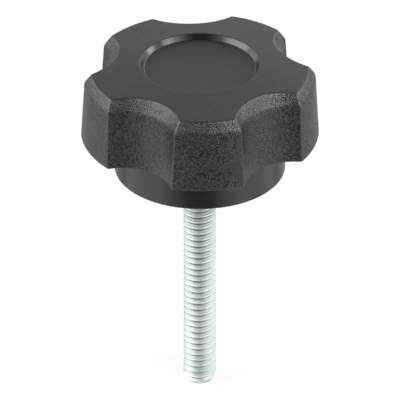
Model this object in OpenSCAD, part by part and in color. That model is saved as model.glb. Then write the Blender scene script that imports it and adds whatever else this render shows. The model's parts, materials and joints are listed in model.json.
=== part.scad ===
// Five-arm clamping knob: a moulded head with finger flutes, moulded round a threaded steel stud.
// Origin at the centre of the hub's seating face, +Z along the stud's axis towards the top of the head.

/* [Head] */
// Diameter across the lobes at their underside
head_d = 44.45; // [40:0.05:60]
// Height from the seating face to the rim of the top recess
head_h = 22.15; // [18:0.05:30]
// Number of lobes
lobe_count = 5; // [4:1:6]
// Taper of the lobes and flutes towards the top, in degrees
draft_angle = 3.4; // [0.5:0.1:6]
// Fall of the top face from the recess rim to the bevel
crown = 0.9; // [0.2:0.05:2]
// Height of the bevel round the top edge
bevel_h = 2; // [0.5:0.05:3]
// Width of the bevel, seen from above
bevel_w = 1.25; // [0.5:0.05:2.5]
// How much lower the bevel starts in the flutes than on the lobes
bevel_dip = 0.1; // [0.05:0.05:0.5]

/* [Flutes] */
// Radius of a flute at the lobes' underside
flute_r = 9.25; // [6:0.05:11]
// Ledge left between the hub and the floor of a flute
flute_ledge = 2; // [0.5:0.1:4]

/* [Top recess] */
// Diameter of the recess at its rim
recess_rim_d = 22.3; // [16:0.1:26]
// Width of the recess's sloping wall, seen from above
recess_wall_w = 0.8; // [0.2:0.05:2]
// Depth of the recess below its rim
recess_depth = 1.05; // [0.4:0.05:3]

/* [Hub] */
// Diameter of the hub
hub_d = 32; // [28:0.1:34]
// Height of the hub below the lobes
hub_h = 7.6; // [4:0.1:10]

/* [Underside] */
// Wall of the hub's skirt at the seating face
skirt_wall = 2.4; // [1.5:0.1:3.5]
// Wall of the centre boss round the corners of the anchor head
boss_wall = 2.1; // [1:0.1:3]
// Plastic left between the cored underside and the recess floor
roof_t = 3.5; // [2:0.1:6]
// Number of ribs between the boss and the skirt
rib_count = 10; // [5:1:12]
// Thickness of a rib
rib_t = 1.5; // [0.8:0.1:2.5]
// Height of the ribs' ends above the seating face
rib_setback = 0.6; // [0.2:0.1:2]
// Taper of the cored walls, in degrees
core_draft = 1; // [0.2:0.1:2]

/* [Stud] */
// Outer diameter of the thread
stud_d = 6.22; // [5:0.01:8]
// Length of the stud below the seating face
stud_len = 46.8; // [15:0.1:80]
// Length of the chamfer at the tip
tip_len = 1.45; // [0.5:0.05:2.5]
// Width of the chamfer at the tip
tip_w = 0.74; // [0.2:0.01:1.2]

/* [Anchor inside the boss] */
// Step in from the thread to the plain neck above it
neck_step = 0.36; // [0.1:0.01:0.8]
// Height of the anchor head's underside above the seating face
anchor_seat = 10; // [5:0.1:12]
// Anchor head across its flats
anchor_flats = 11.1; // [8:0.1:12]
// Height of the anchor head
anchor_h = 4; // [2:0.1:5]
// Gap between the stud and the plastic round it
mould_gap = 0.02; // [0.01:0.01:0.1]

/* [Hidden] */
$fn = 96;

// How far a cutting shape runs past the face it opens
overrun = 1;
// Angles from one lobe, or one rib, to the next
lobe_step = 360 / lobe_count;
rib_step = 360 / rib_count;
// The first lobe points this way, towards the front
front_angle = -90;

head_r = head_d / 2;
hub_r = hub_d / 2;
edge_z = head_h - crown;
bevel_z = edge_z - bevel_h;
side_top_r = head_r - (bevel_z - hub_h) * tan(draft_angle);
recess_rim_r = recess_rim_d / 2;
recess_floor_r = recess_rim_r - recess_wall_w;
recess_floor_z = head_h - recess_depth;

flute_axis_r = hub_r + flute_ledge + flute_r;
flute_low_z = hub_h - overrun;
flute_bevel_z = bevel_z - bevel_dip;
flute_high_z = head_h + overrun;
flute_low_r = flute_r - overrun * tan(draft_angle);
flute_bevel_r = flute_r + (flute_bevel_z - hub_h) * tan(draft_angle);
// Width gained for each unit of height along the bevel
bevel_share = bevel_w / bevel_h;
flute_high_r = flute_bevel_r + (flute_high_z - flute_bevel_z) * bevel_share;

stud_r = stud_d / 2;
tip_r = stud_r - tip_w;
neck_r = stud_r - neck_step;
hexagon = 6;
// Distance from a hexagon's centre to a corner, for each unit to a flat
corner_share = 1 / cos(180 / hexagon);
anchor_corner_r = anchor_flats / 2 * corner_share;

core_z = recess_floor_z - roof_t;
core_outer_r = hub_r - skirt_wall;
core_inner_r = anchor_corner_r + boss_wall;
core_taper = core_z * tan(core_draft);
core_mouth_taper = overrun * tan(core_draft);

// Half-section of the head before the flutes and the core are cut
module head_blank() {
    rotate_extrude()
        polygon([
            [0, 0],
            [hub_r, 0],
            [hub_r, hub_h],
            [head_r, hub_h],
            [side_top_r, bevel_z],
            [side_top_r - bevel_w, edge_z],
            [recess_rim_r, head_h],
            [recess_floor_r, recess_floor_z],
            [0, recess_floor_z],
        ]);
}

// Tapered cutter for one flute, flared at the top so that the bevel runs on through the flute
module flute_cutter() {
    translate([flute_axis_r, 0, 0])
        rotate_extrude()
            polygon([
                [0, flute_low_z],
                [flute_low_r, flute_low_z],
                [flute_bevel_r, flute_bevel_z],
                [flute_high_r, flute_high_z],
                [0, flute_high_z],
            ]);
}

module flutes() {
    for (i = [0 : lobe_count - 1])
        rotate(i * lobe_step + lobe_step / 2)
            flute_cutter();
}

// Ring cored out of the underside, between the skirt and the boss, with the ribs left standing in it
module underside_core() {
    difference() {
        rotate_extrude()
            polygon([
                [core_inner_r - core_mouth_taper, -overrun],
                [core_outer_r + core_mouth_taper, -overrun],
                [core_outer_r - core_taper, core_z],
                [core_inner_r + core_taper, core_z],
            ]);
        for (i = [0 : rib_count - 1])
            rotate(i * rib_step)
                translate([0, -rib_t / 2, rib_setback])
                    cube([hub_r, rib_t, core_z]);
    }
}

// Neck and anchor head of the stud, grown by a gap all round, with the neck run on below the seating face
module anchor(gap, below) {
    translate([0, 0, -below])
        cylinder(r = neck_r + gap, h = anchor_seat + below);
    translate([0, 0, anchor_seat - gap])
        cylinder(r = anchor_corner_r + gap * corner_share, h = gap + anchor_h + gap, $fn = hexagon);
}

module knob_head() {
    color([0.16, 0.16, 0.16])
        rotate(front_angle)
            difference() {
                head_blank();
                flutes();
                underside_core();
                anchor(mould_gap, overrun);
            }
}

module threaded_stud() {
    color([0.80, 0.82, 0.82])
        rotate(front_angle) {
            anchor(0, 0);
            rotate_extrude()
                polygon([
                    [0, 0],
                    [stud_r, 0],
                    [stud_r, tip_len - stud_len],
                    [tip_r, -stud_len],
                    [0, -stud_len],
                ]);
        }
}

knob_head();
threaded_stud();
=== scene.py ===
"""Five-arm clamping knob: moulded head and zinc-plated stud, with the floor, light and camera."""
import json
import math

import bmesh
import bpy
from mathutils import Matrix, Vector


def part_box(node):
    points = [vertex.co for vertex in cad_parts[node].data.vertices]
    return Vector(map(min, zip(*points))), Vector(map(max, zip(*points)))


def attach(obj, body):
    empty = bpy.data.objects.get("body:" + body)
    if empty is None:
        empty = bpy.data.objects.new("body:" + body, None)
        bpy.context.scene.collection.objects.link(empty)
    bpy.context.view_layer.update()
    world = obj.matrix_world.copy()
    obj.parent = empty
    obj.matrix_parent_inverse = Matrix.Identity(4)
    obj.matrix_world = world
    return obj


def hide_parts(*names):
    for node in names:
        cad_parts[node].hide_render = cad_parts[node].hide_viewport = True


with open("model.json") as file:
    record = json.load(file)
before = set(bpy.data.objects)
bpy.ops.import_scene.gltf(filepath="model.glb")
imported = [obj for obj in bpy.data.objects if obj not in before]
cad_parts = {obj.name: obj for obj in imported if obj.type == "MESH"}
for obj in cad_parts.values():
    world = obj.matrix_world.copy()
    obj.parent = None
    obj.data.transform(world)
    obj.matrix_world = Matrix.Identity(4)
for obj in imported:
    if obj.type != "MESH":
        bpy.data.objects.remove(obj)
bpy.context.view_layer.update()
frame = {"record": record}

MM = 0.001
INCH = 25.4 * MM
UP = Vector((0, 0, 1))
FRONT = math.radians(-90)

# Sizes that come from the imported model
head_low, head_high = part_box("knob_head")
stud_low, stud_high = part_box("threaded_stud")
stud_mount = next(m for m in frame["record"]["mounts"] if m["name"] == "stud")
HEAD_RADIUS = -head_low.y
RIM_HEIGHT = head_high.z
STUD_LENGTH = -stud_low.z
STUD_RADIUS = stud_mount["dims"]["r_mm"] * MM
TIP_LENGTH = STUD_LENGTH - stud_mount["dims"]["length_mm"] * MM
ANCHOR_TOP = stud_high.z

# Head: the same driving sizes as the solids
LOBES = 5
LOBE_STEP = 2 * math.pi / LOBES
FIRST_FLUTE = FRONT - LOBE_STEP / 2
DRAFT = math.tan(math.radians(3.4))
HUB_RADIUS = 16 * MM
HUB_HEIGHT = 7.6 * MM
FLUTE_RADIUS = 9.25 * MM
FLUTE_LEDGE = 2 * MM
FLUTE_AXIS = HUB_RADIUS + FLUTE_LEDGE + FLUTE_RADIUS
CROWN = 0.9 * MM
BEVEL_HEIGHT = 2 * MM
BEVEL_WIDTH = 1.25 * MM
EDGE_HEIGHT = RIM_HEIGHT - CROWN
SHOULDER_HEIGHT = EDGE_HEIGHT - BEVEL_HEIGHT
SHOULDER_INSET = (SHOULDER_HEIGHT - HUB_HEIGHT) * DRAFT
EDGE_INSET = SHOULDER_INSET + BEVEL_WIDTH
EDGE_RADIUS = HEAD_RADIUS - EDGE_INSET
RIM_RADIUS = 11.15 * MM
RECESS_WALL = 0.8 * MM
RECESS_DEPTH = 1.05 * MM
RECESS_RADIUS = RIM_RADIUS - RECESS_WALL
RECESS_HEIGHT = RIM_HEIGHT - RECESS_DEPTH
# Slight hollow that moulding leaves in the recess floor
RECESS_SINK = 0.2 * MM
SINK_RINGS = 8

# Cored underside
SKIRT_WALL = 2.4 * MM
ROOF = 3.5 * MM
RIBS = 10
RIB_STEP = 2 * math.pi / RIBS
RIB_THICKNESS = 1.5 * MM
RIB_SETBACK = 0.6 * MM
CORE_DRAFT = math.tan(math.radians(1))
CORE_HEIGHT = RECESS_HEIGHT - ROOF
CORE_RADIUS = HUB_RADIUS - SKIRT_WALL
BOSS_WALL = 2.1 * MM

# Stud and the anchor head inside the boss
TIP_INSET = 0.74 * MM
NECK_STEP = 0.36 * MM
NECK_RADIUS = STUD_RADIUS - NECK_STEP
ANCHOR_SEAT = 10 * MM
ANCHOR_FLATS = 11.1 * MM
HEXAGON = 6
HEXAGON_STEP = 2 * math.pi / HEXAGON
CORNER_SHARE = 1 / math.cos(HEXAGON_STEP / 2)
ANCHOR_CORNER = ANCHOR_FLATS / 2 * CORNER_SHARE
BOSS_RADIUS = ANCHOR_CORNER + BOSS_WALL
MOULD_GAP = 0.02 * MM
THREADS_PER_INCH = 20
PITCH = INCH / THREADS_PER_INCH
THREAD_DEPTH = 0.6134 * PITCH
ROOT_RADIUS = STUD_RADIUS - THREAD_DEPTH
THREAD_RUNOUT = 0.7 * PITCH
# Height above the seat at which a turn would begin on the +X side, which sets how the thread is turned
THREAD_START = 0.28 * PITCH
# Half-section of one turn of the rolled thread, as shares of the pitch and of the depth
THREAD_TURN = ((0.0, 0.04), (0.06, 0.0), (0.12, 0.04), (0.17, 0.13), (0.42, 0.87), (0.47, 0.97),
               (0.53, 1.0), (0.59, 1.0), (0.65, 0.97), (0.70, 0.87), (0.95, 0.13), (1.0, 0.04))

# Roundings that the solids leave sharp
CORNER_RADIUS = 0.45 * MM
SHOULDER_ROUND = 0.45 * MM
EDGE_ROUND = 0.16 * MM
FOOT_ROUND = 0.2 * MM
RIM_ROUND = 0.14 * MM
RECESS_ROUND = 0.12 * MM
SEAT_ROUND = 0.25 * MM
CORE_ROUND = 0.15 * MM

# How finely the curves are cut, and how their meshes are fitted, merged and shaded
LOBE_CUTS = 22
CORNER_CUTS = 6
FLUTE_CUTS = 30
RIB_CUTS = 6
POCKET_CUTS = LOBES * (LOBE_CUTS + 2 * CORNER_CUTS + FLUTE_CUTS) // RIBS - RIB_CUTS
ROUND_CUTS = 3
TURN_CUTS = 56
MEET_TRIES = 6
MERGE = 0.0005 * MM
SHARP = math.radians(40)

# Name of the wear noted on the vertices, and the turn of the surface at which it is full
WEAR = "edge_wear"
WORN_TURN = math.radians(20)
# How far wear reaches from an edge on the walls, and on the top face
WEAR_REACH = 0.8 * MM
TOP_WEAR_REACH = 1 * MM

# Order of the head's finishes on its mesh
GRAINED, SATIN, EVEN, SMOOTH = range(4)


def polar(radius, angle, z=0.0):
    return Vector((radius * math.cos(angle), radius * math.sin(angle), z))


def angle_of(place):
    return math.atan2(place.y, place.x)


def radius_of(place):
    return math.hypot(place.x, place.y)


def verts_of(edges):
    return list(dict.fromkeys(v for e in edges for v in e.verts))


def arc(bm, vert, centre, sweep, cuts):
    """Runs a vertex round a level arc and returns the vertex at its end."""
    made = bmesh.ops.spin(bm, geom=[vert], cent=centre, axis=UP, angle=sweep, steps=cuts)
    return next(e for e in made["geom_last"] if isinstance(e, bmesh.types.BMVert))


def close_ring(bm, first, last, older):
    """Joins the ends of a ring of arcs and returns the edges that are newer than older."""
    bmesh.ops.weld_verts(bm, targetmap={last: first})
    return [e for e in bm.edges if e not in older]


def lobed_ring(bm, inset, z):
    """One level outline of lobes, rounded corners and flutes, drawn in from the head's widest by inset."""
    lobe = HEAD_RADIUS - inset
    corner_at = lobe - CORNER_RADIUS
    reach = FLUTE_RADIUS + inset + CORNER_RADIUS
    # Angles of the triangle from the head's axis to a corner's centre and a flute's axis
    at_head = math.acos((corner_at**2 + FLUTE_AXIS**2 - reach**2) / (2 * corner_at * FLUTE_AXIS))
    at_corner = math.acos((corner_at**2 + reach**2 - FLUTE_AXIS**2) / (2 * corner_at * reach))
    at_flute = math.pi - at_head - at_corner
    older = set(bm.edges)
    first = end = bm.verts.new(polar(lobe, FIRST_FLUTE + at_head, z))
    for number in range(1, LOBES + 1):
        flute = FIRST_FLUTE + number * LOBE_STEP
        end = arc(bm, end, polar(0, 0, z), LOBE_STEP - 2 * at_head, LOBE_CUTS)
        end = arc(bm, end, polar(corner_at, flute - at_head, z), math.pi - at_corner, CORNER_CUTS)
        end = arc(bm, end, polar(FLUTE_AXIS, flute, z), -2 * at_flute, FLUTE_CUTS)
        end = arc(bm, end, polar(corner_at, flute + at_head, z), math.pi - at_corner, CORNER_CUTS)
    return close_ring(bm, first, end, older)


def cored_ring(bm, radius, z):
    """A circle with vertices at the sides of the ribs and of the pockets between them."""
    rib = 2 * math.asin(RIB_THICKNESS / 2 / radius)
    older = set(bm.edges)
    first = end = bm.verts.new(polar(radius, FRONT - rib / 2, z))
    for _ in range(RIBS):
        end = arc(bm, end, polar(0, 0, z), rib, RIB_CUTS)
        end = arc(bm, end, polar(0, 0, z), RIB_STEP - rib, POCKET_CUTS)
    return close_ring(bm, first, end, older)


def bridge(bm, lower, upper, finish=0):
    faces = bmesh.ops.bridge_loops(bm, edges=lower + upper)["faces"]
    for face in faces:
        face.material_index = finish
    return faces


def bridge_level(bm, outer, inner, finish=0):
    """Bridges two rings of one plane, the inner one lifted meanwhile so that both run the same way."""
    lift = UP * HUB_HEIGHT
    bmesh.ops.translate(bm, verts=verts_of(inner), vec=lift)
    faces = bridge(bm, outer, inner, finish)
    bmesh.ops.translate(bm, verts=verts_of(inner), vec=-lift)
    return faces


def draw_ring(bm, ring, radius, z, finish=0):
    """Extrudes a ring to a level circle, with each vertex kept at its own angle."""
    made = bmesh.ops.extrude_edge_only(bm, edges=ring)["geom"]
    verts = {e for e in made if isinstance(e, bmesh.types.BMVert)}
    for vert in verts:
        vert.co = polar(radius, angle_of(vert.co), z)
    for face in made:
        if isinstance(face, bmesh.types.BMFace):
            face.material_index = finish
    return [e for e in made if isinstance(e, bmesh.types.BMEdge) and verts.issuperset(e.verts)]


def cap(bm, ring, finish=0):
    for face in bmesh.ops.contextual_create(bm, geom=ring)["faces"]:
        face.material_index = finish


def draw_hexagon(bm, ring, corner, z, finish=0):
    """Extrudes a ring to a level hexagon with a corner at the front."""
    drawn = draw_ring(bm, ring, corner, z, finish)
    verts = verts_of(drawn)
    for vert in verts:
        off_flat = (angle_of(vert.co) - FRONT) % HEXAGON_STEP - HEXAGON_STEP / 2
        vert.co = polar(corner / CORNER_SHARE / math.cos(off_flat), angle_of(vert.co), z)
    for number in range(HEXAGON):
        point = polar(corner, FRONT + number * HEXAGON_STEP, z)
        min(verts, key=lambda v: (v.co - point).length).co = point
    return drawn


def top_height(radius):
    """Height of the crowned top face at a distance from the axis."""
    return RIM_HEIGHT - CROWN * (radius - RIM_RADIUS) / (EDGE_RADIUS - RIM_RADIUS)


def spread_evenly(ring):
    """Turns the vertices of a level circle so that they lie evenly round it."""
    verts = sorted(verts_of(ring), key=lambda v: angle_of(v.co))
    step = 2 * math.pi / len(verts)
    shift = sum(angle_of(v.co) - number * step for number, v in enumerate(verts)) / len(verts)
    for number, vert in enumerate(verts):
        vert.co = polar(radius_of(vert.co), shift + number * step, vert.co.z)


def meet_top(edge, below):
    """Slides the upper end of each line of the bevel along that line until it lies in the top face."""
    below = set(verts_of(below))
    for vert in verts_of(edge):
        foot = next(e.other_vert(vert).co for e in vert.link_edges if e.other_vert(vert) in below)
        line = vert.co - foot
        for _ in range(MEET_TRIES):
            share = (top_height(radius_of(vert.co)) - foot.z) / line.z
            vert.co = foot + line * share


def on_rib(place):
    nearest = round((angle_of(place) - FRONT) / RIB_STEP) * RIB_STEP + FRONT
    return abs(radius_of(place) * math.sin(angle_of(place) - nearest)) < RIB_THICKNESS / 2


def raise_pockets(bm, rib_level):
    """Pushes the faces between the ribs up into pockets with tapered walls."""
    pockets = [f for f in rib_level if not on_rib(f.calc_center_median())]
    made = bmesh.ops.extrude_face_region(bm, geom=pockets)["geom"]
    taper = CORE_HEIGHT * CORE_DRAFT
    for vert in made:
        if isinstance(vert, bmesh.types.BMVert):
            outside = radius_of(vert.co) > (CORE_RADIUS + BOSS_RADIUS) / 2
            radius = CORE_RADIUS - taper if outside else BOSS_RADIUS + taper
            vert.co = polar(radius, angle_of(vert.co), CORE_HEIGHT)
    bmesh.ops.delete(bm, geom=[f for f in pockets if f.is_valid], context="FACES_ONLY")
    bmesh.ops.delete(bm, geom=[e for e in bm.edges if e.is_wire], context="EDGES")


def round_ring(bm, ring, width):
    bmesh.ops.bevel(bm, geom=ring + verts_of(ring), offset=width, offset_type="OFFSET", segments=ROUND_CUTS,
                    profile=0.5, affect="EDGES", material=-1, loop_slide=True, clamp_overlap=False)


def mark_wear(bm):
    """Notes on each vertex how sharply the surface turns outward there, for the wear along edges."""
    wear = bm.verts.layers.float.new(WEAR)
    for vert in bm.verts:
        turns = [e.calc_face_angle_signed(0) for e in vert.link_edges]
        vert[wear] = min(1, max(0, *turns) / WORN_TURN)


def keep_faces_even(mesh):
    """Weighs the shading at each vertex by the faces' size, so that only the roundings look round."""
    leans = [Vector() for _ in mesh.vertices]
    for face in mesh.polygons:
        for number in face.vertices:
            leans[number] += face.normal * face.area
    for edge in mesh.edges:
        if edge.use_edge_sharp:
            for number in edge.vertices:
                leans[number] = Vector()
    mesh.normals_split_custom_set([leans[corner.vertex_index].normalized() for corner in mesh.loops])


def make_piece(name, bm, node, finishes):
    """Turns a finished mesh into a piece that stands for a solid and rides on the body."""
    bmesh.ops.recalc_face_normals(bm, faces=bm.faces)
    mark_wear(bm)
    mesh = bpy.data.meshes.new(name)
    bm.to_mesh(mesh)
    bm.free()
    for finish in finishes:
        mesh.materials.append(finish)
    mesh.shade_smooth()
    mesh.set_sharp_from_angle(angle=SHARP)
    piece = bpy.data.objects.new(name, mesh)
    bpy.context.scene.collection.objects.link(piece)
    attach(piece, "root")
    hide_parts(node)
    return piece


def moulded_head(finishes):
    """Lobes, flutes, bevel, crowned top with its recess, hub and cored underside, as one closed shell."""
    bm = bmesh.new()
    foot = lobed_ring(bm, 0, HUB_HEIGHT)
    low = lobed_ring(bm, WEAR_REACH * DRAFT, HUB_HEIGHT + WEAR_REACH)
    high = lobed_ring(bm, SHOULDER_INSET - WEAR_REACH * DRAFT, SHOULDER_HEIGHT - WEAR_REACH)
    shoulder = lobed_ring(bm, SHOULDER_INSET, SHOULDER_HEIGHT)
    reach = WEAR_REACH / math.hypot(BEVEL_WIDTH, BEVEL_HEIGHT)
    bevel_low = lobed_ring(bm, SHOULDER_INSET + BEVEL_WIDTH * reach, SHOULDER_HEIGHT + BEVEL_HEIGHT * reach)
    bevel_high = lobed_ring(bm, EDGE_INSET - BEVEL_WIDTH * reach, EDGE_HEIGHT - BEVEL_HEIGHT * reach)
    edge = lobed_ring(bm, EDGE_INSET, EDGE_HEIGHT)
    rings = (foot, low, high, shoulder, bevel_low, bevel_high, edge)
    for below, above in zip(rings, rings[1:]):
        bridge(bm, below, above, GRAINED)
    meet_top(edge, bevel_high)

    inside = lobed_ring(bm, EDGE_INSET + TOP_WEAR_REACH, EDGE_HEIGHT)
    for vert in verts_of(inside):
        vert.co.z = top_height(radius_of(vert.co))
    bridge(bm, edge, inside, SATIN)
    near_rim = RIM_RADIUS + WEAR_REACH
    before_rim = draw_ring(bm, inside, near_rim, top_height(near_rim), SATIN)
    spread_evenly(before_rim)
    rim = draw_ring(bm, before_rim, RIM_RADIUS, RIM_HEIGHT, SATIN)
    recess = draw_ring(bm, rim, RECESS_RADIUS, RECESS_HEIGHT, SMOOTH)
    inner = recess
    for number in range(1, SINK_RINGS):
        out = 1 - number / SINK_RINGS
        sunk = RECESS_SINK * (1 - out**2)
        inner = draw_ring(bm, inner, RECESS_RADIUS * out, RECESS_HEIGHT - sunk, EVEN)
    cap(bm, inner, EVEN)

    hub_top = draw_ring(bm, foot, HUB_RADIUS, HUB_HEIGHT, SMOOTH)
    spread_evenly(hub_top)
    hub_low = draw_ring(bm, hub_top, HUB_RADIUS, WEAR_REACH, SMOOTH)
    seat = draw_ring(bm, hub_low, HUB_RADIUS, 0, SMOOTH)
    mouth = cored_ring(bm, CORE_RADIUS, 0)
    bridge_level(bm, seat, mouth, SMOOTH)
    mouth_taper = RIB_SETBACK * CORE_DRAFT
    rib_outer = cored_ring(bm, CORE_RADIUS - mouth_taper, RIB_SETBACK)
    rib_inner = cored_ring(bm, BOSS_RADIUS + mouth_taper, RIB_SETBACK)
    boss = cored_ring(bm, BOSS_RADIUS, 0)
    bridge(bm, mouth, rib_outer, SMOOTH)
    rib_level = bridge_level(bm, rib_outer, rib_inner, SMOOTH)
    bridge(bm, rib_inner, boss, SMOOTH)

    bore = draw_ring(bm, boss, NECK_RADIUS + MOULD_GAP, 0, SMOOTH)
    bore_top = draw_ring(bm, bore, NECK_RADIUS + MOULD_GAP, ANCHOR_SEAT - MOULD_GAP, SMOOTH)
    room = ANCHOR_CORNER + MOULD_GAP * CORNER_SHARE
    anchor_floor = draw_hexagon(bm, bore_top, room, ANCHOR_SEAT - MOULD_GAP, SMOOTH)
    cap(bm, draw_hexagon(bm, anchor_floor, room, ANCHOR_TOP + MOULD_GAP, SMOOTH), SMOOTH)
    raise_pockets(bm, rib_level)

    rounded = ((foot, FOOT_ROUND), (shoulder, SHOULDER_ROUND), (edge, EDGE_ROUND), (rim, RIM_ROUND),
               (recess, RECESS_ROUND), (seat, SEAT_ROUND), (mouth, CORE_ROUND), (boss, CORE_ROUND))
    for ring, width in rounded:
        round_ring(bm, ring, width)
    head = make_piece("moulded_head", bm, "knob_head", finishes)
    keep_faces_even(head.data)
    return head


def trim_thread(bm, height, away):
    """Cuts the thread level at a height and drops what lies beyond it."""
    everything = bm.verts[:] + bm.edges[:] + bm.faces[:]
    bmesh.ops.bisect_plane(bm, geom=everything, dist=MERGE, plane_co=(0, 0, height), plane_no=away,
                           clear_outer=True)


def taper_ends(bm):
    """Chamfers the tip and lets the thread run out at the hub."""
    for vert in bm.verts:
        radius, angle, z = radius_of(vert.co), angle_of(vert.co), vert.co.z
        tip = STUD_RADIUS - TIP_INSET * max(0, 1 - (z + STUD_LENGTH) / TIP_LENGTH)
        runout = STUD_RADIUS - THREAD_DEPTH * min(1, -z / THREAD_RUNOUT)
        vert.co = polar(min(max(radius, runout), tip), angle, z)


def rolled_stud(finishes):
    """Right-hand thread with a chamfered tip, neck and anchor head inside the boss, as one closed shell."""
    bm = bmesh.new()
    turns = math.ceil(STUD_LENGTH / PITCH) + 2
    bottom = THREAD_START - PITCH * turns
    verts = [bm.verts.new((ROOT_RADIUS + out * THREAD_DEPTH, 0, bottom + along * PITCH))
             for along, out in THREAD_TURN]
    edges = [bm.edges.new(ends) for ends in zip(verts, verts[1:])]
    bmesh.ops.spin(bm, geom=verts + edges, cent=(0, 0, 0), axis=UP, dvec=UP * PITCH / TURN_CUTS,
                   angle=2 * math.pi, steps=TURN_CUTS)
    turn = bm.verts[:] + bm.edges[:] + bm.faces[:]
    for number in range(1, turns):
        made = bmesh.ops.duplicate(bm, geom=turn)["geom"]
        copied = [v for v in made if isinstance(v, bmesh.types.BMVert)]
        bmesh.ops.translate(bm, verts=copied, vec=UP * PITCH * number)
    bmesh.ops.remove_doubles(bm, verts=bm.verts, dist=MERGE)
    trim_thread(bm, -STUD_LENGTH, -UP)
    trim_thread(bm, 0, UP)
    taper_ends(bm)
    bmesh.ops.remove_doubles(bm, verts=bm.verts, dist=MERGE)
    open_edges = [e for e in bm.edges if e.is_boundary]
    hub_end = [e for e in open_edges if all(v.co.z > -PITCH for v in e.verts)]
    tip_end = [e for e in open_edges if all(v.co.z < -PITCH for v in e.verts)]
    cap(bm, tip_end)
    neck = draw_ring(bm, hub_end, NECK_RADIUS, 0)
    neck_top = draw_ring(bm, neck, NECK_RADIUS, ANCHOR_SEAT)
    anchor = draw_hexagon(bm, neck_top, ANCHOR_CORNER, ANCHOR_SEAT)
    cap(bm, draw_hexagon(bm, anchor, ANCHOR_CORNER, ANCHOR_TOP))
    return make_piece("rolled_stud", bm, "threaded_stud", finishes)


# Finishes

# Grain scales are per metre, and a pip's edge lies this far from its middle, in pip widths
PIP_EDGE = 0.8
# Shares of that distance within which a pip's top takes the full painted glint, and beyond which it takes
# none
PIP_TOP = 0.1
PIP_SHOULDER = 0.8
# Size of the least pip beside the greatest
PIP_LEAST = 0.6
# How far the pips stray from even rows
PIP_STRAY = 0.9
DRIFT_SCALE = 160
DRIFT_DETAIL = 3
# Middle stretch of a noise that is drawn out to the full range
NOISE_SPAN = (0.3, 0.7)
# How far wear takes the grain down at an edge and lightens it, and the share of polish that the pips take
EDGE_SMOOTHING = 0.7
EDGE_PALENESS = 0.3
PIP_POLISH = 0.7
# Each finish's second tone is the colour of the painted glint on the pip tops and of worn edges
LOBE_GRAIN = dict(pip_scale=3600, bump=1.0, depth=0.065 * MM, roughness=(0.30, 0.12), gloss=0.5,
                  tones=((0.004, 0.0045, 0.0045), (0.066, 0.0725, 0.071)))
TOP_GRAIN = dict(pip_scale=2800, bump=0.6, depth=0.010 * MM, roughness=(0.50, 0.40), gloss=0.36,
                 tones=((0.025, 0.028, 0.0275), (0.036, 0.040, 0.039)))
RECESS_GRAIN = dict(pip_scale=1500, bump=0.3, depth=0.004 * MM, roughness=(0.46, 0.40), gloss=0.27,
                    tones=((0.023, 0.025, 0.024), (0.026, 0.028, 0.027)))
HUB_GRAIN = dict(pip_scale=1500, bump=0.2, depth=0.004 * MM, roughness=(0.24, 0.17), gloss=0.7,
                 tones=((0.005, 0.006, 0.006), (0.008, 0.0095, 0.009)))
ZINC_TONES = ((0.545, 0.625, 0.603), (0.613, 0.64, 0.613))
# Colour of the painted shade down in the thread's roots, standing for the shadow in the grooves
ZINC_ROOT_SHADE = (0.10, 0.11, 0.105)
# Shares of the thread's depth that the painted root shade fills at the tip and at the hub; it reaches
# higher near the hub, where the head's shadow falls
ZINC_ROOT_SHADE_HEIGHT = (0.1, 0.38)
ZINC_ROUGHNESS = (0.48, 0.6)
ZINC_PATCH_SCALE = 220
ZINC_PATCH_DETAIL = 2
ZINC_PATCH_SPAN = (0.35, 0.65)
ZINC_DULL_SCALE = 700
ZINC_DULL_DETAIL = 4
ZINC_SCUFF_SCALE = 2600
ZINC_SCUFF_DETAIL = 2
ZINC_SCUFF_BUMP = 0.35
ZINC_SCUFF_DEPTH = 0.02 * MM


def new_material(name):
    """A new node material, its node tree and its Principled shader."""
    material = bpy.data.materials.new(name)
    material.use_nodes = True
    tree = material.node_tree
    return material, tree, tree.nodes["Principled BSDF"]


def feed(tree, socket, value):
    """Links an input to the output given, or sets it to the number or colour given."""
    if isinstance(value, bpy.types.NodeSocket):
        tree.links.new(value, socket)
    elif socket.type == "RGBA":
        socket.default_value = (*value, 1)
    else:
        socket.default_value = value


def noise_at(tree, place, scale, detail):
    noise = tree.nodes.new("ShaderNodeTexNoise")
    feed(tree, noise.inputs["Vector"], place)
    feed(tree, noise.inputs["Scale"], scale)
    feed(tree, noise.inputs["Detail"], detail)
    return noise.outputs["Fac"]


def pips_at(tree, place, scale):
    """Distance to the middle of the nearest packed pip, in pip widths, and that pip's chance number."""
    cells = tree.nodes.new("ShaderNodeTexVoronoi")
    cells.inputs["Randomness"].default_value = PIP_STRAY
    tree.links.new(scale, cells.inputs["Scale"])
    tree.links.new(place, cells.inputs["Vector"])
    chance = tree.nodes.new("ShaderNodeSeparateColor")
    tree.links.new(cells.outputs["Color"], chance.inputs["Color"])
    return cells.outputs["Distance"], chance.outputs["Red"]


def ranged(tree, value, low, high, to_low, to_high):
    """Maps a value from one range to another, held at the ends."""
    node = tree.nodes.new("ShaderNodeMapRange")
    for name, number in (("Value", value), ("From Min", low), ("From Max", high),
                         ("To Min", to_low), ("To Max", to_high)):
        feed(tree, node.inputs[name], number)
    return node.outputs["Result"]


def blended(tree, share, first, second):
    """Mixes two colours by a share."""
    node = tree.nodes.new("ShaderNodeMix")
    node.data_type = "RGBA"
    feed(tree, node.inputs["Factor"], share)
    for name, colour in (("A", first), ("B", second)):
        socket = next(i for i in node.inputs if i.name == name and i.type == "RGBA")
        feed(tree, socket, colour)
    return next(o for o in node.outputs if o.type == "RGBA")


def worked_out(tree, operation, *values):
    """The result of one step of arithmetic on sockets and numbers."""
    node = tree.nodes.new("ShaderNodeMath")
    node.operation = operation
    for socket, value in zip(node.inputs, values):
        feed(tree, socket, value)
    return node.outputs["Value"]


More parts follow.
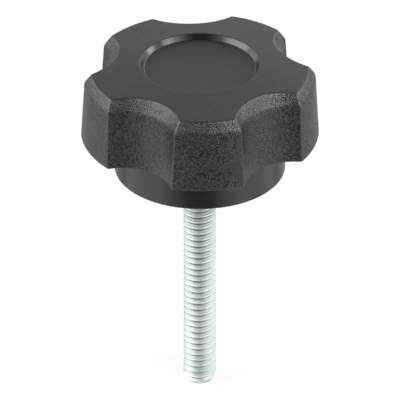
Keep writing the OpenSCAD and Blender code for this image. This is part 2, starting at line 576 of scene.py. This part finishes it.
def bumped(tree, height, strength, distance):
    node = tree.nodes.new("ShaderNodeBump")
    node.inputs["Strength"].default_value = strength
    node.inputs["Distance"].default_value = distance
    tree.links.new(height, node.inputs["Height"])
    return node.outputs["Normal"]


def object_place(tree):
    return tree.nodes.new("ShaderNodeTexCoord").outputs["Object"]


def moulded_grain_group():
    """Sparked mould grain: the height of small rounded pips, a painted glint on their tops joined with the
    lightening of worn edges, and how polished.
    """
    group = bpy.data.node_groups.new("moulded_grain", "ShaderNodeTree")
    group.interface.new_socket("Place", in_out="INPUT", socket_type="NodeSocketVector")
    for name in ("Pip Scale", "Drift Scale", "Edge Wear"):
        group.interface.new_socket(name, in_out="INPUT", socket_type="NodeSocketFloat")
    for name in ("Height", "Glint And Wear", "Polish"):
        group.interface.new_socket(name, in_out="OUTPUT", socket_type="NodeSocketFloat")
    inputs = group.nodes.new("NodeGroupInput").outputs
    outputs = group.nodes.new("NodeGroupOutput").inputs
    from_middle, chance = pips_at(group, inputs["Place"], inputs["Pip Scale"])
    size = ranged(group, chance, 0.0, 1.0, PIP_LEAST, 1.0)
    squared = worked_out(group, "MULTIPLY", from_middle, from_middle)
    dome = ranged(group, squared, 0.0, PIP_EDGE**2, 1.0, 0.0)
    drift = noise_at(group, inputs["Place"], inputs["Drift Scale"], DRIFT_DETAIL)
    left = worked_out(group, "MULTIPLY_ADD", inputs["Edge Wear"], -EDGE_SMOOTHING, 1.0)
    height = worked_out(group, "MULTIPLY", worked_out(group, "MULTIPLY", dome, size), left)
    rubbed = worked_out(group, "MULTIPLY", inputs["Edge Wear"], EDGE_PALENESS)
    # Painted glints: the pips' tops are made lighter in colour, standing for light sparkling off them; worn
    # edges join in as real wear
    painted_glints = ranged(group, from_middle, PIP_TOP * PIP_EDGE, PIP_SHOULDER * PIP_EDGE, 1.0, 0.0)
    glint_and_wear = worked_out(group, "MAXIMUM", painted_glints, rubbed)
    handled = ranged(group, drift, *NOISE_SPAN, 0.0, 1 - PIP_POLISH)
    polish = worked_out(group, "MULTIPLY_ADD", glint_and_wear, PIP_POLISH, handled)
    for name, value in (("Height", height), ("Glint And Wear", glint_and_wear), ("Polish", polish)):
        group.links.new(value, outputs[name])
    return group


def plastic_finish(name, grain, pip_scale, bump, depth, roughness, gloss, tones):
    """Black moulded plastic with the shared grain at its own scale, depth and gloss."""
    material, tree, shader = new_material(name)
    node = tree.nodes.new("ShaderNodeGroup")
    node.node_tree = grain
    worn = tree.nodes.new("ShaderNodeAttribute")
    worn.attribute_name = WEAR
    tree.links.new(object_place(tree), node.inputs["Place"])
    tree.links.new(worn.outputs["Fac"], node.inputs["Edge Wear"])
    node.inputs["Pip Scale"].default_value = pip_scale
    node.inputs["Drift Scale"].default_value = DRIFT_SCALE
    # Base colour runs from the first tone to the second with the painted glints on the pip tops and the
    # wear at edges
    tree.links.new(blended(tree, node.outputs["Glint And Wear"], *tones), shader.inputs["Base Color"])
    tree.links.new(ranged(tree, node.outputs["Polish"], 0.0, 1.0, *roughness), shader.inputs["Roughness"])
    tree.links.new(bumped(tree, node.outputs["Height"], bump, depth), shader.inputs["Normal"])
    shader.inputs["Specular IOR Level"].default_value = gloss
    return material


def zinc_finish():
    """Bright zinc plate with faint green and warm patches and duller spots, and painted shade in the
    thread's roots that climbs higher up the flanks towards the hub.
    """
    material, tree, shader = new_material("zinc_plate")
    place = object_place(tree)
    clouds = noise_at(tree, place, ZINC_PATCH_SCALE, ZINC_PATCH_DETAIL)
    plate = blended(tree, ranged(tree, clouds, *ZINC_PATCH_SPAN, 0.0, 1.0), *ZINC_TONES)
    level = tree.nodes.new("ShaderNodeVectorMath")
    level.operation = "MULTIPLY"
    level.inputs[1].default_value = (1, 1, 0)
    tree.links.new(place, level.inputs[0])
    length = tree.nodes.new("ShaderNodeVectorMath")
    length.operation = "LENGTH"
    tree.links.new(level.outputs["Vector"], length.inputs[0])
    axes = tree.nodes.new("ShaderNodeSeparateXYZ")
    tree.links.new(place, axes.inputs["Vector"])
    # Painted shade: the colour darkens in the thread's roots and reaches further up the flanks towards the
    # hub; the tip's flat end lies inside the root radius and takes it too
    shaded_up_to = [ROOT_RADIUS + share * THREAD_DEPTH for share in ZINC_ROOT_SHADE_HEIGHT]
    shade_edge = ranged(tree, axes.outputs["Z"], -STUD_LENGTH, 0.0, *shaded_up_to)
    depth = ranged(tree, length.outputs["Value"], ROOT_RADIUS, shade_edge, 1.0, 0.0)
    tree.links.new(blended(tree, depth, plate, ZINC_ROOT_SHADE), shader.inputs["Base Color"])
    dulling = noise_at(tree, place, ZINC_DULL_SCALE, ZINC_DULL_DETAIL)
    tree.links.new(ranged(tree, dulling, *NOISE_SPAN, *ZINC_ROUGHNESS), shader.inputs["Roughness"])
    scuffs = noise_at(tree, place, ZINC_SCUFF_SCALE, ZINC_SCUFF_DETAIL)
    tree.links.new(bumped(tree, scuffs, ZINC_SCUFF_BUMP, ZINC_SCUFF_DEPTH), shader.inputs["Normal"])
    shader.inputs["Metallic"].default_value = 1.0
    return material


# Floor, light and camera
FLOOR_SIZE = 2.4
FLOOR_PALE = 0.85
FLOOR_SHADED = 0.32
FLOOR_GLOW = 0.71
SKY_LIGHT = 0.25
LAMP_DISTANCE = 600 * MM
# Azimuth from the front and height angle in degrees, size and brightness of each lamp
LAMPS = {
    "front_left": (-36, 25, 0.2, 6.0),
    "front_right": (34, 28, 0.2, 8.0),
    "left": (-82, 24, 0.48, 3.6),
    "right": (62, 26, 0.32, 5.2),
    "far_right": (108, 16, 0.2, 5.0),
    "back_right": (150, 24, 0.32, 1.3),
    "back_left": (-120, 14, 0.32, 0.9),
}
# Points of the cards' sections, each a distance from the axis and a height
CARD_LEVEL = -STUD_LENGTH + 1 * MM
BESIDE_STUD = (4 * MM, CARD_LEVEL)
NEAR_EDGE = (70 * MM, CARD_LEVEL)
RIGHT_EDGE = (78 * MM, CARD_LEVEL)
FAR_EDGE = (650 * MM, CARD_LEVEL)
FRONT_TOP = (650 * MM, 1400 * MM)
BACK_LOW = (709 * MM, 554 * MM)
BACK_TOP = (450 * MM, 779 * MM)
PEAK = (1 * MM, 897 * MM)
# Cards that only gloss sees: azimuth from the front and sweep in degrees, brightness and half width in
# degrees of the even middle, brightness at the ends, and section
FULL_TURN = 360
CARDS = {
    "near_table": (0, 80, 0.7, 14, 0.95, (BESIDE_STUD, NEAR_EDGE)),
    "right_table": (86, 40, 0.1, 12, 1.05, (BESIDE_STUD, RIGHT_EDGE)),
    "front_table": (0, 96, 0.15, 12, 1.05, (NEAR_EDGE, FAR_EDGE)),
    "front_screen": (0, 96, 0.06, 22, 1.05, (FAR_EDGE, FRONT_TOP)),
    "back_table": (180, 148, 0.5, 70, 1.05, (BESIDE_STUD, FAR_EDGE)),
    "back_screen": (180, 200, 0.65, 80, 1.0, (BACK_LOW, BACK_TOP)),
    "canopy": (180, FULL_TURN, 0.2, 180, 0.2, (BACK_TOP, PEAK)),
}
CARD_CUTS = 24
# View of the photograph: turn, height angle and distance of the camera, and where the origin lies from
# the picture's centre
VIEW_TURN = math.radians(4.153)
VIEW_RISE = math.radians(30.877)
VIEW_DISTANCE = 1200 * MM
VIEW_SIDE = -0.040 * MM
VIEW_DROP = -6.433 * MM
PHOTO_WIDTH = 400
PHOTO_SCALE = 5.345 / MM
VIEW_SHARE = PHOTO_SCALE / PHOTO_WIDTH
VIEW_LIMIT = 10
SENSOR = 36


def angle_from_front(azimuth):
    """Angle round the axis of an azimuth in degrees from the camera's side."""
    return FRONT - VIEW_TURN + math.radians(azimuth)


def seen_directly(tree):
    """A mask that is 1 for rays from the camera, from gloss and through glass."""
    path = tree.nodes.new("ShaderNodeLightPath").outputs
    mask = path["Is Camera Ray"]
    for name in ("Is Glossy Ray", "Is Transmission Ray"):
        mask = worked_out(tree, "MAXIMUM", mask, path[name])
    return mask


def mixed_shader(tree, mask, first, second):
    node = tree.nodes.new("ShaderNodeMixShader")
    tree.links.new(mask, node.inputs["Fac"])
    tree.links.new(first, node.inputs[1])
    tree.links.new(second, node.inputs[2])
    return node.outputs["Shader"]


def diffuse(tree, tone):
    node = tree.nodes.new("ShaderNodeBsdfDiffuse")
    feed(tree, node.inputs["Color"], (tone, tone, tone))
    return node.outputs["BSDF"]


def white_world():
    """An even sky that shows white and lights the scene softly."""
    world = bpy.data.worlds.new("studio")
    world.use_nodes = True
    tree = world.node_tree
    lit = tree.nodes["Background"]
    shown = tree.nodes.new("ShaderNodeBackground")
    for node, strength in ((lit, SKY_LIGHT), (shown, 1.0)):
        feed(tree, node.inputs["Color"], (1, 1, 1))
        node.inputs["Strength"].default_value = strength
    sky = mixed_shader(tree, seen_directly(tree), lit.outputs[0], shown.outputs[0])
    tree.links.new(sky, tree.nodes["World Output"].inputs["Surface"])
    bpy.context.scene.world = world


def floor_finish():
    """Pale floor that shows white, keeps a soft shadow, and is clear from below."""
    material, tree, shader = new_material("pale_floor")
    tree.nodes.remove(shader)
    glow = tree.nodes.new("ShaderNodeEmission")
    glow.inputs["Strength"].default_value = FLOOR_GLOW
    shown = tree.nodes.new("ShaderNodeAddShader")
    tree.links.new(diffuse(tree, FLOOR_SHADED), shown.inputs[0])
    tree.links.new(glow.outputs["Emission"], shown.inputs[1])
    top = mixed_shader(tree, seen_directly(tree), diffuse(tree, FLOOR_PALE), shown.outputs["Shader"])
    under = tree.nodes.new("ShaderNodeNewGeometry").outputs["Backfacing"]
    clear = tree.nodes.new("ShaderNodeBsdfTransparent").outputs["BSDF"]
    tree.links.new(mixed_shader(tree, under, top, clear), tree.nodes["Material Output"].inputs["Surface"])
    return material


def card_finish(name, azimuth, sweep, level, even, end_level):
    """A card that glows evenly in its middle and fades to another level at both ends."""
    material, tree, shader = new_material(name)
    tree.nodes.remove(shader)
    turned = tree.nodes.new("ShaderNodeMapping")
    turned.inputs["Rotation"].default_value = (0, 0, -angle_from_front(azimuth))
    tree.links.new(object_place(tree), turned.inputs["Vector"])
    axes = tree.nodes.new("ShaderNodeSeparateXYZ")
    tree.links.new(turned.outputs["Vector"], axes.inputs["Vector"])
    angle = worked_out(tree, "ARCTAN2", axes.outputs["Y"], axes.outputs["X"])
    off_middle = worked_out(tree, "ABSOLUTE", angle)
    glow = tree.nodes.new("ShaderNodeEmission")
    strength = ranged(tree, off_middle, math.radians(even), math.radians(sweep / 2), level, end_level)
    tree.links.new(strength, glow.inputs["Strength"])
    tree.links.new(glow.outputs["Emission"], tree.nodes["Material Output"].inputs["Surface"])
    return material


def add_stage(name, bm, finish):
    mesh = bpy.data.meshes.new(name)
    bm.to_mesh(mesh)
    bm.free()
    mesh.materials.append(finish)
    thing = bpy.data.objects.new(name, mesh)
    bpy.context.scene.collection.objects.link(thing)
    return thing


def floor():
    bm = bmesh.new()
    level = Matrix.Translation((0, 0, -STUD_LENGTH))
    bmesh.ops.create_grid(bm, x_segments=1, y_segments=1, size=FLOOR_SIZE / 2, matrix=level)
    return add_stage("floor", bm, floor_finish())


def cards():
    """Curved cards round the object that shape what the gloss shows, and nothing else."""
    for name, (azimuth, sweep, level, even, end_level, section) in CARDS.items():
        bm = bmesh.new()
        start = angle_from_front(azimuth - sweep / 2)
        verts = [bm.verts.new(polar(out, start, up)) for out, up in section]
        edges = [bm.edges.new(ends) for ends in zip(verts, verts[1:])]
        bmesh.ops.spin(bm, geom=verts + edges, cent=(0, 0, 0), axis=UP, angle=math.radians(sweep),
                       steps=CARD_CUTS, use_merge=sweep == FULL_TURN)
        card = add_stage(name, bm, card_finish(name, azimuth, sweep, level, even, end_level))
        card.visible_camera = card.visible_diffuse = card.visible_shadow = False


def lamps():
    """Square lamps round the object, all at one distance and turned towards it."""
    for name, (azimuth, rise, size, level) in LAMPS.items():
        light = bpy.data.lights.new(name, "AREA")
        light.size = size
        light.energy = level * math.pi * size**2
        lamp = bpy.data.objects.new(name, light)
        across = LAMP_DISTANCE * math.cos(math.radians(rise))
        above = LAMP_DISTANCE * math.sin(math.radians(rise))
        lamp.location = polar(across, angle_from_front(azimuth), above)
        lamp.rotation_euler = (-lamp.location).to_track_quat("-Z", "Y").to_euler()
        lamp.visible_camera = False
        bpy.context.scene.collection.objects.link(lamp)


def photo_camera():
    """Camera at the photograph's angle, for a square image."""
    lens = bpy.data.cameras.new("photo_view")
    lens.sensor_width = SENSOR
    lens.lens = SENSOR * VIEW_SHARE * VIEW_DISTANCE
    lens.clip_end = VIEW_LIMIT
    camera = bpy.data.objects.new("photo_view", lens)
    sine, cosine = math.sin(VIEW_RISE), math.cos(VIEW_RISE)
    back = VIEW_DROP * sine - VIEW_DISTANCE * cosine
    above = VIEW_DROP * cosine + VIEW_DISTANCE * sine
    camera.location = Matrix.Rotation(-VIEW_TURN, 3, "Z") @ Vector((-VIEW_SIDE, back, above))
    camera.rotation_euler = (math.pi / 2 - VIEW_RISE, 0, -VIEW_TURN)
    bpy.context.scene.collection.objects.link(camera)
    bpy.context.scene.camera = camera


photo_camera()
white_world()
lamps()
floor()
cards()
grain = moulded_grain_group()
moulded_head([plastic_finish("grained_plastic", grain, **LOBE_GRAIN),
              plastic_finish("satin_plastic", grain, **TOP_GRAIN),
              plastic_finish("even_plastic", grain, **RECESS_GRAIN),
              plastic_finish("smooth_plastic", grain, **HUB_GRAIN)])
rolled_stud([zinc_finish()])

bpy.context.scene.view_settings.view_transform = "Standard"
